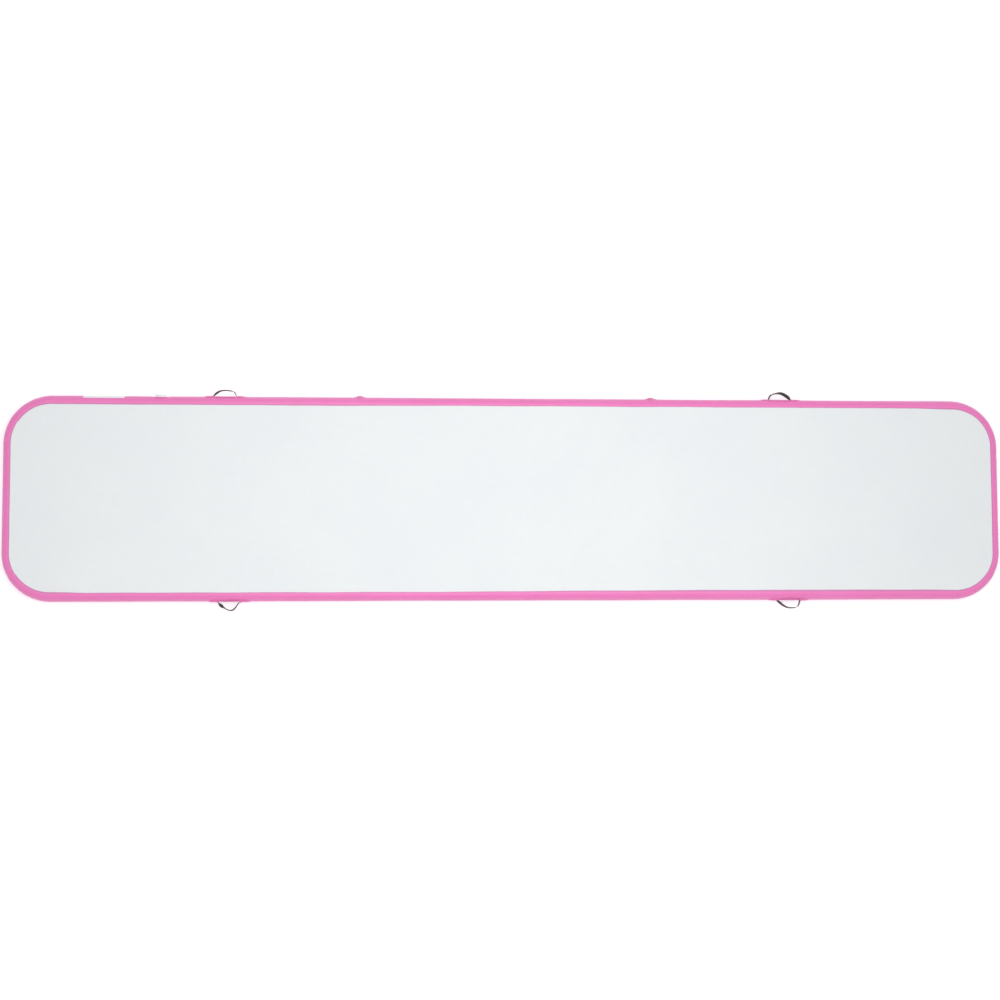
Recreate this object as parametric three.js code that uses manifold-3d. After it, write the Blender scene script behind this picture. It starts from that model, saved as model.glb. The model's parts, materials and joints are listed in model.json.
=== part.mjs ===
// An inflatable air track: a long, low tumbling mat of drop-stitch cloth, blown up hard through a valve.
//
// Millimetres, +Z up. The origin is on the floor under the middle of the mat, X runs along its length and
// +Y points at the far side wall, the one that holds the valve, the tie rings and the label.
// A fitting is drawn with the wall's outermost line as its origin and its own +Y pointing out of the wall.
import * as THREE from "three";
import { mergeVertices } from "three/addons/utils/BufferGeometryUtils.js";
import Module from "manifold-3d";

const wasm = await Module();
wasm.setup();

// ---- driving dimensions -------------------------------------------------------------------------------

const LENGTH = 5000; // wall to wall, inflated
const WIDTH = 1015;
const HEIGHT = 100;
const CORNER_RADIUS = 240; // of the wall's outermost line, seen from above
const BULGE = 38; // how far the wall swells past the edge of the flat faces
const LIP = 9; // how far the wall strip laps onto each flat face
const WALL_CLOTH = 0.9;
const PANEL_CLOTH = 1;
const BOND = 0.3; // glue line between two layers

const SEAM_ANGLE = 33; // degrees round each corner from the end wall to the wall strips' seam
const LONG_ARC_STEPS = 6; // facets of a corner on the long strip's side of the seam
const END_ARC_STEPS = 4; // and on the end strip's side
const WALL_STEPS = 10; // facets up the wall

const FAR_SHIFT = -23; // the far side's fittings sit this far along from the middle
const NEAR_SHIFT = 5; // and the near side's
const HANDLE_X = 1400; // either way from there
const TIE_RING_X = 734;
const VALVE_X = -1737;
const LABEL_X = -2012;

const MID = HEIGHT / 2;
const PANEL_INSET = BULGE + 1; // the panels' edge, from the wall's outermost line
const SEAM_GAP = 0.6; // between the ends of two wall strips
const REACH_STEPS = WALL_STEPS - 2; // the wall's facets that patches can cover
const REACH_DEGREES = (90 * REACH_STEPS) / WALL_STEPS;

// ---- colours and finishes -----------------------------------------------------------------------------

/** A material with the named colour, roughness and metalness. */
function finish(color, roughness, metalness = 0) {
  return new THREE.MeshStandardMaterial({ color, roughness, metalness });
}

const MATERIALS = {
  pinkCloth: finish(0xee72b4, 0.45),
  whiteCloth: finish(0xeef1f4, 0.6),
  greyCloth: finish(0xc9ccd1, 0.6),
  yarn: finish(0xf2f0ea, 0.9),
  webbing: finish(0x2d3030, 0.9),
  steel: finish(0xb9bcc0, 0.3, 1),
  valvePlastic: finish(0xdfe2e5, 0.4),
  rubber: finish(0x3a3a3c, 0.8),
  label: finish(0xf0eef0, 0.5),
};

// ---- helpers ------------------------------------------------------------------------------------------

/** A closed geometry as a manifold-3d solid. */
function solidOf(geometry) {
  const bare = geometry.clone();
  bare.deleteAttribute("normal");
  bare.deleteAttribute("uv");
  const merged = mergeVertices(bare, 1e-4);
  return new wasm.Manifold(
    new wasm.Mesh({
      numProp: 3,
      vertProperties: merged.getAttribute("position").array,
      triVerts: new Uint32Array(merged.index.array),
    }),
  );
}

/** A manifold-3d solid as a geometry. */
function geometryOf(solid) {
  const mesh = solid.getMesh();
  const geometry = new THREE.BufferGeometry();
  geometry.setAttribute("position", new THREE.BufferAttribute(mesh.vertProperties, 3));
  geometry.setIndex(new THREE.BufferAttribute(mesh.triVerts, 1));
  geometry.computeVertexNormals();
  return geometry;
}

/** A named piece. */
function piece(name, geometry, material) {
  const mesh = new THREE.Mesh(geometry, material);
  mesh.name = name;
  return mesh;
}

/** A shape drawn in (x, z), swept along Y from y0 to y1. */
function alongY(shape, y0, y1, curveSegments = 12) {
  return new THREE.ExtrudeGeometry(shape, { depth: y1 - y0, bevelEnabled: false, curveSegments })
    .rotateX(Math.PI / 2)
    .translate(0, y1, 0);
}

/** A shape drawn in (y, z), swept along X over a width centred on x = 0. */
function alongX(shape, width, curveSegments = 12) {
  return new THREE.ExtrudeGeometry(shape, { depth: width, bevelEnabled: false, curveSegments })
    .translate(0, 0, -width / 2)
    .rotateX(Math.PI / 2)
    .rotateZ(Math.PI / 2);
}

/** A body turned about the Y axis from a closed list of [radius, y] points. */
function turned(profile, segments) {
  const points = profile.map(([r, y]) => new THREE.Vector2(r, y));
  return new THREE.LatheGeometry([...points, points[0]], segments);
}

/** A flat ring about the Y axis. */
function washer(innerRadius, outerRadius, y0, y1, segments = 20) {
  return turned([[innerRadius, y0], [outerRadius, y0], [outerRadius, y1], [innerRadius, y1]], segments);
}

/** A cylinder about the Y axis from y0 to y1. */
function disc(radius, y0, y1, segments = 20) {
  return new THREE.CylinderGeometry(radius, radius, y1 - y0, segments).translate(0, (y0 + y1) / 2, 0);
}

/** A cylinder along X through (y, z). */
function bar(radius, length, y, z, segments = 16) {
  return new THREE.CylinderGeometry(radius, radius, length, segments)
    .rotateZ(Math.PI / 2)
    .translate(0, y, z);
}

/** A rectangle with round corners, centred on the origin. */
function roundedRectangle(width, height, radius) {
  const x = width / 2 - radius;
  const y = height / 2 - radius;
  const shape = new THREE.Shape();
  shape.absarc(x, y, radius, 0, Math.PI / 2);
  shape.absarc(-x, y, radius, Math.PI / 2, Math.PI);
  shape.absarc(-x, -y, radius, Math.PI, 1.5 * Math.PI);
  shape.absarc(x, -y, radius, 1.5 * Math.PI, 2 * Math.PI);
  shape.closePath();
  return shape;
}

// ---- the mat's plan and the wall's section ------------------------------------------------------------

/**
 * Stations on the wall's outermost line from one angle of its outward normal to another, anticlockwise.
 * Every corner has the same facets, so layers at different insets stay parallel.
 */
function stations(fromDegrees, toDegrees) {
  const found = [];
  const cornerX = LENGTH / 2 - CORNER_RADIUS;
  const cornerY = WIDTH / 2 - CORNER_RADIUS;
  for (const degrees of facetAngles(fromDegrees, toDegrees)) {
    for (const side of degrees % 90 === 0 ? [-1, 1] : [1]) {
      // At a multiple of 90 degrees a straight wall starts at one corner and ends at the next.
      const corner = ((degrees + side) * Math.PI) / 180;
      const angle = (degrees * Math.PI) / 180;
      const nx = Math.cos(angle);
      const ny = Math.sin(angle);
      const x = Math.sign(Math.cos(corner)) * cornerX + CORNER_RADIUS * nx;
      const y = Math.sign(Math.sin(corner)) * cornerY + CORNER_RADIUS * ny;
      found.push({ x, y, nx, ny });
    }
  }
  return found;
}

/** The angles of the corner facets' edges between two angles, both included. */
function facetAngles(fromDegrees, toDegrees) {
  const quarter = [];
  for (let i = 0; i < END_ARC_STEPS; i++) quarter.push((SEAM_ANGLE * i) / END_ARC_STEPS);
  for (let i = 0; i < LONG_ARC_STEPS; i++) {
    quarter.push(SEAM_ANGLE + ((90 - SEAM_ANGLE) * i) / LONG_ARC_STEPS);
  }
  const mirrored = [90, ...quarter.slice(1).reverse().map((a) => 180 - a)];
  const half = [...quarter, ...mirrored];
  const found = [];
  for (let turn = -360; turn <= 360; turn += 180) {
    for (const angle of half) {
      if (angle + turn >= fromDegrees && angle + turn <= toDegrees) found.push(angle + turn);
    }
  }
  return found;
}

/** The point at an inset from a station and at a height. */
function at(station, inset, z) {
  return [station.x - station.nx * inset, station.y - station.ny * inset, z];
}

/** Half an ellipse up the wall, as [inset, z] points from the bottom face to the top face. */
function wallArc(a, b, steps, limitDegrees = 90) {
  return Array.from({ length: steps + 1 }, (_, i) => {
    const angle = (((2 * i) / steps - 1) * limitDegrees * Math.PI) / 180;
    return [BULGE - a * Math.cos(angle), MID + b * Math.sin(angle)];
  });
}

/** The closed section of a wall strip: an outer and an inner half ellipse, and a lip on each face. */
function stripSection(outer, inner, lip, steps) {
  const inset = BULGE + lip;
  return [
    [inset, MID - outer.b],
    ...wallArc(outer.a, outer.b, steps),
    [inset, MID + outer.b],
    [inset, MID + inner.b],
    ...wallArc(inner.a, inner.b, steps).reverse(),
    [inset, MID - inner.b],
  ];
}

/** Sweeps a closed [inset, z] section along stations, into a ring or into a strip with two flat ends. */
function sweptSection(section, along, closed) {
  const positions = [];
  for (const station of along) {
    for (const [inset, z] of section) positions.push(...at(station, inset, z));
  }
  const n = section.length;
  const index = [];
  const spans = closed ? along.length : along.length - 1;
  for (let i = 0; i < spans; i++) {
    const here = i * n;
    const next = ((i + 1) % along.length) * n;
    for (let j = 0; j < n; j++) {
      const k = (j + 1) % n;
      index.push(here + j, next + j, next + k, here + j, next + k, here + k);
    }
  }
  if (!closed) {
    const flat = section.map(([inset, z]) => new THREE.Vector2(inset, z));
    const last = (along.length - 1) * n;
    for (const [a, b, c] of THREE.ShapeUtils.triangulateShape(flat, [])) {
      index.push(a, c, b);
      index.push(last + a, last + b, last + c);
    }
  }
  const geometry = new THREE.BufferGeometry();
  geometry.setAttribute("position", new THREE.Float32BufferAttribute(positions, 3));
  geometry.setIndex(index);
  geometry.computeVertexNormals();
  return geometry;
}

/** A strip's stations, cut back from both seams by half the seam gap. */
function stripStations(fromDegrees, toDegrees) {
  const along = stations(fromDegrees, toDegrees);
  const trim = (end, inner) => {
    const length = Math.hypot(inner.x - end.x, inner.y - end.y);
    const share = SEAM_GAP / 2 / length;
    return {
      x: end.x + (inner.x - end.x) * share,
      y: end.y + (inner.y - end.y) * share,
      nx: end.nx,
      ny: end.ny,
    };
  };
  const last = along.length - 1;
  return [trim(along[0], along[1]), ...along.slice(1, last), trim(along[last], along[last - 1])];
}

// ---- the air chamber ----------------------------------------------------------------------------------

/** A flat cloth panel between two heights. */
function panel(name, z0, z1, material) {
  const outline = stations(0, 359).map((s) => new THREE.Vector2(...at(s, PANEL_INSET, 0)));
  const geometry = new THREE.ExtrudeGeometry(new THREE.Shape(outline), {
    depth: z1 - z0,
    bevelEnabled: false,
  });
  return piece(name, geometry.translate(0, 0, z0), material);
}

const LIP_STACK = WALL_CLOTH + BOND; // from the mat's face to the panel's own face

/** One row of the pile yarn that ties the two panels together, as a zigzag between them. */
function yarnRow(name, y) {
  const STITCHES = 14;
  const REACH = 2330; // half the row's length
  const YARN = 2;
  const low = LIP_STACK + PANEL_CLOTH + BOND;
  const high = HEIGHT - low;
  const pitch = REACH / STITCHES;
  const top = [];
  const bottom = [];
  for (let i = 0; i <= 2 * STITCHES; i++) {
    const x = -REACH + i * pitch;
    const up = i % 2 === 1;
    top.push(new THREE.Vector2(x, up ? high : low + YARN));
    bottom.push(new THREE.Vector2(x, up ? high - YARN : low));
  }
  const shape = new THREE.Shape([...bottom, ...top.reverse()]);
  return piece(name, alongY(shape, y - YARN / 2, y + YARN / 2), MATERIALS.yarn);
}

/** The structural strip inside the wall, bonded to the inner faces of both panels. */
function innerStrip() {
  const STEPS = 6;
  const LAP = 16;
  const a = BULGE - WALL_CLOTH - BOND;
  const b = MID - LIP_STACK - PANEL_CLOTH - BOND;
  const outer = { a, b };
  const inner = { a: a - WALL_CLOTH, b: b - WALL_CLOTH };
  const ring = sweptSection(stripSection(outer, inner, LAP, STEPS), stations(0, 359), true);
  return piece("inner_seam_strip", geometryOf(solidOf(ring).subtract(valveHole())), MATERIALS.greyCloth);
}

/** One length of the coloured outer wall, from seam to seam. */
function wallStrip(fromDegrees, toDegrees) {
  const outer = { a: BULGE, b: MID };
  const inner = { a: BULGE - WALL_CLOTH, b: MID - WALL_CLOTH };
  const section = stripSection(outer, inner, LIP, WALL_STEPS);
  return sweptSection(section, stripStations(fromDegrees, toDegrees), false);
}

/** The tape over a seam between two wall strips. It stops short of the flat faces. */
function seamTape(name, seamDegrees) {
  const HALF_WIDTH = 3.6; // degrees round the corner
  const TOP = BOND + 0.8;
  const outer = wallArc(BULGE + TOP, MID + TOP, REACH_STEPS, REACH_DEGREES);
  const inner = wallArc(BULGE + BOND, MID + BOND, REACH_STEPS, REACH_DEGREES).reverse();
  const cornerX = LENGTH / 2 - CORNER_RADIUS;
  const cornerY = WIDTH / 2 - CORNER_RADIUS;
  const along = [-HALF_WIDTH, 0, HALF_WIDTH].map((offset) => {
    const angle = ((seamDegrees + offset) * Math.PI) / 180;
    const nx = Math.cos(angle);
    const ny = Math.sin(angle);
    return {
      x: Math.sign(nx) * cornerX + CORNER_RADIUS * nx,
      y: Math.sign(ny) * cornerY + CORNER_RADIUS * ny,
      nx,
      ny,
    };
  });
  return piece(name, sweptSection([...outer, ...inner], along, false), MATERIALS.pinkCloth);
}

// ---- patches on the wall ------------------------------------------------------------------------------

/** How far out the wall lies at a height z from its middle, with a layer of some thickness on it. */
function wallOut(z, layer = 0) {
  const share = z / (MID + layer);
  return (BULGE + layer) * Math.sqrt(1 - share * share) - BULGE;
}

/** A patch between two heights above the wall, with its outline drawn in (x, z). It has the wall's facets. */
function wallPatch(outline, width, low, high, curveSegments = 3) {
  const side = (layer) => {
    const arc = wallArc(BULGE + layer, MID + layer, REACH_STEPS, REACH_DEGREES);
    return arc.map(([inset, z]) => new THREE.Vector2(-inset, z - MID));
  };
  const band = solidOf(alongX(new THREE.Shape([...side(low).reverse(), ...side(high)]), width));
  return band.intersect(solidOf(alongY(outline, -BULGE, BULGE, curveSegments)));
}

const PATCH = BOND + 1.2; // height of a bonded patch's face above the wall

// ---- carry handles ------------------------------------------------------------------------------------

const HANDLE = {
  span: 118, // between the two anchors
  reach: 40, // how far the loop stands out of the wall
  webbing: 25,
  thickness: 2.4,
  baseWidth: 204, // of the patch under the whole handle
  baseHeight: 66,
  coverWidth: 40, // of the patch over each tail of the webbing
  coverHeight: 34,
  cover: 4, // height of the covers' faces above the wall
  clearance: 0.5, // between those and the loop's round ends
};
const HANDLE_AXIS = HANDLE.cover + HANDLE.clearance + HANDLE.webbing / 2; // the fold line, out of the wall

/** The loop of webbing, in the plane of the fold line, with its two ends rounded about that line. */
function handleLoop(name) {
  const { span, reach, webbing, thickness, cover, clearance } = HANDLE;
  const half = span / 2;
  const start = cover + clearance;
  const crest = reach - thickness / 2;
  const side = [
    [half - 2, start],
    [half - 9, start + 12],
    [half - 24, crest - 8],
    [half - 44, crest],
  ];
  const points = [...side.map(([x, y]) => [-x, y]), ...side.reverse()];
  const path = new THREE.CatmullRomCurve3(points.map(([x, y]) => new THREE.Vector3(x, y, 0)));
  // Across a curve in the XY plane, a shape's x runs along Z and its y across the curve.
  const section = new THREE.Shape();
  section.moveTo(-webbing / 2, -thickness / 2);
  section.lineTo(webbing / 2, -thickness / 2);
  section.lineTo(webbing / 2, thickness / 2);
  section.lineTo(-webbing / 2, thickness / 2);
  section.closePath();
  const strap = new THREE.ExtrudeGeometry(section, { steps: 16, extrudePath: path });
  const beyond = new THREE.BoxGeometry(2 * span, 2 * reach, 2 * webbing)
    .translate(0, HANDLE_AXIS + reach, 0);
  const roundEnd = bar(webbing / 2, 2 * span, HANDLE_AXIS, 0, 20);
  const kept = solidOf(beyond).add(solidOf(roundEnd));
  return piece(name, geometryOf(solidOf(strap).intersect(kept)), MATERIALS.webbing);
}

/** A whole handle: a patch under it, the loop, and a cover patch over each of the webbing's two tails. */
function handle(name) {
  const { span, baseWidth, baseHeight, coverWidth, coverHeight, cover } = HANDLE;
  const group = new THREE.Group();
  const base = wallPatch(roundedRectangle(baseWidth, baseHeight, 30), baseWidth, BOND, PATCH, 6);
  group.add(piece(`${name}_base_patch`, geometryOf(base), MATERIALS.pinkCloth));
  const middle = span / 2 + coverWidth / 2 - 4;
  for (const [number, x] of [[1, -middle], [2, middle]]) {
    const outline = roundedRectangle(coverWidth, coverHeight, 8);
    const patch = wallPatch(outline, coverWidth, PATCH + BOND, cover);
    const mesh = piece(`${name}_tail_cover_${number}`, geometryOf(patch), MATERIALS.pinkCloth);
    mesh.position.x = x;
    group.add(mesh);
  }
  group.add(handleLoop(`${name}_strap`));
  return group;
}

// ---- tie rings ----------------------------------------------------------------------------------------

const RING = {
  wire: 2, // radius
  barHalf: 10, // half the straight bar
  corner: 5,
  bow: 15, // radius of the bow
  tabWidth: 19,
  tabCloth: 1.4,
  patchRadius: 30,
};
const RING_HOLE = RING.wire + 0.5; // radius of the fold that holds the bar
const RING_AXIS = PATCH + BOND + RING_HOLE + RING.tabCloth; // the bar's middle, out of the wall

/** The closed centreline of a D-shaped ring that hangs from its straight bar. */
class RingLine extends THREE.Curve {
  constructor() {
    super();
    const { barHalf, corner, bow } = RING;
    this.flat = new THREE.Path();
    this.flat.moveTo(-barHalf, 0);
    this.flat.lineTo(barHalf, 0);
    this.flat.absarc(barHalf, -corner, corner, Math.PI / 2, 0, true);
    this.flat.absarc(0, -corner, bow, 0, Math.PI, true);
    this.flat.absarc(-barHalf, -corner, corner, Math.PI, Math.PI / 2, true);
  }

  getPoint(t, target = new THREE.Vector3()) {
    const p = this.flat.getPoint(t % 1);
    return target.set(p.x, RING_AXIS, p.y);
  }
}

/** A tie ring, the tab that folds round its bar, and the round patch that they sit on. */
function tieRing(name) {
  const group = new THREE.Group();
  const { patchRadius, tabWidth, tabCloth, wire } = RING;
  const round = new THREE.Shape();
  round.absarc(0, 0, patchRadius, 0, 2 * Math.PI);
  const patch = wallPatch(round, 2 * patchRadius, BOND, PATCH, 12);
  group.add(piece(`${name}_patch`, geometryOf(patch), MATERIALS.pinkCloth));

  const footFace = PATCH + BOND + tabCloth;
  const foot = wallPatch(roundedRectangle(tabWidth, 26, 1), tabWidth, PATCH + BOND, footFace);
  const fold = solidOf(bar(RING_HOLE + tabCloth, tabWidth, RING_AXIS, 0));
  const hole = solidOf(bar(RING_HOLE, 2 * tabWidth, RING_AXIS, 0));
  group.add(piece(`${name}_tab`, geometryOf(foot.add(fold).subtract(hole)), MATERIALS.pinkCloth));

  const ring = new THREE.TubeGeometry(new RingLine(), 32, wire, 6, true);
  group.add(piece(`${name}_d_ring`, ring, MATERIALS.steel));
  return group;
}

// ---- inflation valve ----------------------------------------------------------------------------------

const VALVE = {
  patchRadius: 43, // of the moulded patch that carries the valve
  holeRadius: 39.2, // of the hole in the wall under it
  dishRadius: 31, // of the flat land that it dips to
  land: -8, // the land's face, out of the wall
  cloth: 1.2,
  flangeRadius: 30,
  neckRadius: 20.5,
  boreRadius: 16,
  seatRadius: 12.5,
  collarRadius: 20,
  gasket: 1,
  capRadius: 25,
};
const FLANGE_LOW = VALVE.land + BOND + VALVE.gasket + BOND;
const FLANGE_TOP = FLANGE_LOW + 2.5;
const COLLAR_TOP = FLANGE_TOP + 5.9;
const NECK_END = VALVE.land - 22;
const HUB_LOW = NECK_END + 8;
const HUB_TOP = HUB_LOW + 3;
const BUTTON_TOP = FLANGE_TOP - 0.1;

/** The hole that the wall's layers have for the valve, as a solid in the mat's frame. */
function valveHole() {
  const cutter = disc(VALVE.holeRadius, -BULGE - 20, BULGE, 24);
  return solidOf(cutter.translate(VALVE_X, WIDTH / 2, MID));
}

/** The moulded patch: its rim follows the wall and its middle dips to a flat land with a hole. */
function valvePatch() {
  const SEGMENTS = 24;
  const { patchRadius, holeRadius, dishRadius, land, cloth, neckRadius } = VALVE;
  const radii = [patchRadius, holeRadius + 0.3, 36, 33.5, dishRadius, neckRadius + 0.6];
  const height = (radius, angle, layer, flat) => {
    const share = THREE.MathUtils.smoothstep(radius, dishRadius, holeRadius + 0.3);
    return THREE.MathUtils.lerp(flat, wallOut(radius * Math.sin(angle), layer), share);
  };
  const outer = radii.map((r) => [r, PATCH, land]);
  const inner = radii.map((r) => [r, 2 * BOND, land - cloth]).reverse();
  const section = [...outer, ...inner];
  const positions = [];
  for (let i = 0; i < SEGMENTS; i++) {
    const angle = (2 * Math.PI * i) / SEGMENTS;
    for (const [r, layer, flat] of section) {
      positions.push(r * Math.cos(angle), height(r, angle, layer, flat), r * Math.sin(angle));
    }
  }
  const n = section.length;
  const index = [];
  for (let i = 0; i < SEGMENTS; i++) {
    const here = i * n;
    const next = ((i + 1) % SEGMENTS) * n;
    for (let j = 0; j < n; j++) {
      const k = (j + 1) % n;
      index.push(here + j, here + k, next + k, here + j, next + k, next + j);
    }
  }
  const geometry = new THREE.BufferGeometry();
  geometry.setAttribute("position", new THREE.Float32BufferAttribute(positions, 3));
  geometry.setIndex(index);
  geometry.computeVertexNormals();
  return piece("valve_patch", geometry, MATERIALS.pinkCloth);
}

/** The valve's housing: flange, collar for the cap, neck, seat and the spider that guides the stem. */
function valveBody() {
  const { flangeRadius, neckRadius, boreRadius, seatRadius, collarRadius } = VALVE;
  const shell = turned(
    [
      [seatRadius, NECK_END],
      [neckRadius, NECK_END],
      [neckRadius, FLANGE_LOW],
      [flangeRadius, FLANGE_LOW],
      [flangeRadius, FLANGE_TOP - 1],
      [flangeRadius - 1.5, FLANGE_TOP],
      [collarRadius - 0.5, FLANGE_TOP],
      [collarRadius - 0.5, COLLAR_TOP - 3],
      [collarRadius, COLLAR_TOP - 2],
      [collarRadius - 0.5, COLLAR_TOP - 1],
      [collarRadius - 0.5, COLLAR_TOP],
      [boreRadius, COLLAR_TOP],
      [boreRadius, NECK_END + 3],
      [seatRadius, NECK_END + 2],
    ],
    24,
  );
  let body = solidOf(shell);
  const ARMS = 3;
  for (let i = 0; i < ARMS; i++) {
    const arm = new THREE.BoxGeometry(boreRadius - 3, HUB_TOP - HUB_LOW, 2.4)
      .translate((boreRadius + 4) / 2, (HUB_TOP + HUB_LOW) / 2, 0)
      .rotateY((2 * Math.PI * i) / ARMS);
    body = body.add(solidOf(arm));
  }
  body = body.add(solidOf(disc(5.4, HUB_LOW, HUB_TOP, 16)));
  body = body.subtract(solidOf(disc(3.4, HUB_LOW - 1, HUB_TOP + 1, 16)));
  return piece("valve_body", geometryOf(body), MATERIALS.valvePlastic);
}

/** The lobed nut that clamps the cloth from inside. */
function backingNut() {
  const LOBES = 8;
  const outline = Array.from({ length: 4 * LOBES }, (_, i) => {
    const angle = (2 * Math.PI * i) / (4 * LOBES);
    const radius = VALVE.flangeRadius - 1.2 + 1.2 * Math.cos(LOBES * angle);
    return new THREE.Vector2(radius * Math.cos(angle), radius * Math.sin(angle));
  });
  const shape = new THREE.Shape(outline);
  const hole = new THREE.Path();
  hole.absarc(0, 0, VALVE.neckRadius + 0.5, 0, 2 * Math.PI);
  shape.holes.push(hole);
  const top = VALVE.land - VALVE.cloth - BOND - VALVE.gasket - BOND;
  return piece("valve_backing_nut", alongY(shape, top - 7, top), MATERIALS.valvePlastic);
}

/** The spring-loaded stem with its push button, and the rubber disc that it pulls against the seat. */
function poppet() {
  const SEAL_TOP = NECK_END - 0.4;
  const SEAL_LOW = SEAL_TOP - 2.2;
  const stem = turned(
    [
      [0, SEAL_LOW - 2.4],
      [6, SEAL_LOW - 2.4],
      [6, SEAL_LOW - 0.4],
      [2.9, SEAL_LOW - 0.4],
      [2.9, BUTTON_TOP - 2.5],
      [7, BUTTON_TOP - 2.5],
      [7, BUTTON_TOP - 0.6],
      [6.2, BUTTON_TOP],
      [0, BUTTON_TOP],
    ],
    16,
  );
  return [
    piece("poppet_stem", stem, MATERIALS.valvePlastic),
    piece("poppet_seal", washer(3.3, 14.5, SEAL_LOW, SEAL_TOP), MATERIALS.rubber),
  ];
}

/** The coil spring between the guide's hub and the push button. */
function valveSpring() {
  const TURNS = 4;
  const RADIUS = 5;
  const WIRE = 0.6;
  const low = HUB_TOP + BOND + WIRE;
  const high = BUTTON_TOP - 2.5 - BOND - WIRE;
  class Helix extends THREE.Curve {
    getPoint(t, target = new THREE.Vector3()) {
      const angle = 2 * Math.PI * TURNS * t;
      return target.set(RADIUS * Math.cos(angle), low + (high - low) * t, RADIUS * Math.sin(angle));
    }
  }
  const wire = new THREE.Shape();
  wire.absarc(0, 0, WIRE, 0, 2 * Math.PI);
  const options = { steps: 12 * TURNS, curveSegments: 5, extrudePath: new Helix() };
  return piece("valve_spring", new THREE.ExtrudeGeometry(wire, options), MATERIALS.steel);
}

const CAP_SKIRT_LOW = FLANGE_TOP + 2.3;
const CAP_FACE_LOW = COLLAR_TOP + 1.8;
const CAP_FACE_TOP = CAP_FACE_LOW + 2.5;

/** The screw cap: a fluted skirt, a flat face and a headed knob that the tether's eye turns on. */
function valveCap() {
  const FLUTES = 12;
  const outline = Array.from({ length: 4 * FLUTES }, (_, i) => {
    const angle = (2 * Math.PI * i) / (4 * FLUTES);
    const radius = VALVE.capRadius - 0.6 + 0.6 * Math.cos(FLUTES * angle);
    return new THREE.Vector2(radius * Math.cos(angle), radius * Math.sin(angle));
  });
  const shell = solidOf(alongY(new THREE.Shape(outline), CAP_SKIRT_LOW, CAP_FACE_TOP));
  const hollow = solidOf(disc(VALVE.collarRadius + 0.8, CAP_SKIRT_LOW - 1, CAP_FACE_LOW, 24));
  const knob = turned(
    [
      [0, CAP_FACE_TOP - 1],
      [4, CAP_FACE_TOP - 1],
      [4, CAP_FACE_TOP + 2.3],
      [5.6, CAP_FACE_TOP + 2.6],
      [5.6, CAP_FACE_TOP + 3.4],
      [4.6, CAP_FACE_TOP + 4],
      [0, CAP_FACE_TOP + 4],
    ],
    16,
  );
  const cap = shell.subtract(hollow).add(solidOf(knob));
  return [
    piece("valve_cap", geometryOf(cap), MATERIALS.valvePlastic),
    piece("cap_seal", washer(14, VALVE.collarRadius + 0.4, CAP_FACE_LOW - 1.3, CAP_FACE_LOW - 0.3),
      MATERIALS.rubber),
  ];
}

/** The tether's two halves: the ring clamped under the cap, and the eye and strap that lift with it. */
function capTether() {
  const WIDTH_OF_STRAP = 7;
  const THICK = 1.6;
  const ringLow = FLANGE_TOP + BOND;
  const ringTop = ringLow + 1.7;
  const tab = new THREE.BoxGeometry(10, ringTop - ringLow, WIDTH_OF_STRAP)
    .translate(-28.5, (ringLow + ringTop) / 2, 0);
  const base = solidOf(washer(20.3, 26, ringLow, ringTop, 24)).add(solidOf(tab));

  const eyeLow = CAP_FACE_TOP + BOND;
  const eyeMid = eyeLow + THICK / 2;
  const route = [
    [-7, eyeMid],
    [-14, eyeMid + 1.5],
    [-22, eyeMid + 4.5],
    [-29, eyeMid + 3.5],
    [-32, eyeMid - 2],
    [-31, ringTop + 0.4],
  ];
  const path = new THREE.CatmullRomCurve3(route.map(([x, y]) => new THREE.Vector3(x, y, 0)));
  const section = new THREE.Shape();
  section.moveTo(-WIDTH_OF_STRAP / 2, -THICK / 2);
  section.lineTo(WIDTH_OF_STRAP / 2, -THICK / 2);
  section.lineTo(WIDTH_OF_STRAP / 2, THICK / 2);
  section.lineTo(-WIDTH_OF_STRAP / 2, THICK / 2);
  section.closePath();
  const strap = solidOf(new THREE.ExtrudeGeometry(section, { steps: 14, extrudePath: path }));
  const eye = solidOf(washer(4.6, 8.5, eyeLow, eyeLow + THICK, 16));
  return [
    piece("tether_ring", geometryOf(base), MATERIALS.valvePlastic),
    piece("tether_strap", geometryOf(eye.add(strap)), MATERIALS.valvePlastic),
  ];
}

/** The whole valve. */
function valve() {
  const group = new THREE.Group();
  const { land, gasket, cloth } = VALVE;
  const innerFace = land - cloth;
  group.add(
    valvePatch(),
    piece("outer_gasket", washer(21.2, 28, land + BOND, land + BOND + gasket), MATERIALS.rubber),
    valveBody(),
    piece("inner_gasket", washer(21.2, 28, innerFace - BOND - gasket, innerFace - BOND), MATERIALS.rubber),
    backingNut(),
    ...poppet(),
    valveSpring(),
    ...valveCap(),
    ...capTether(),
  );
  return group;
}

// ---- the whole mat ------------------------------------------------------------------------------------

/** Puts a fitting on the far wall, or turned round on the near one. */
function onWall(fitting, x, near = false) {
  fitting.position.set(x, near ? -WIDTH / 2 : WIDTH / 2, MID);
  fitting.rotation.z = near ? Math.PI : 0;
  return fitting;
}

const mat = new THREE.Group();
mat.add(panel("top_panel", HEIGHT - LIP_STACK - PANEL_CLOTH, HEIGHT - LIP_STACK, MATERIALS.whiteCloth));
mat.add(panel("bottom_panel", LIP_STACK, LIP_STACK + PANEL_CLOTH, MATERIALS.greyCloth));

const YARN_ROWS = 5;
const YARN_SPACING = 180;
for (let i = 0; i < YARN_ROWS; i++) {
  mat.add(yarnRow(`drop_stitch_yarn_${i + 1}`, (i - (YARN_ROWS - 1) / 2) * YARN_SPACING));
}

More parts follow.
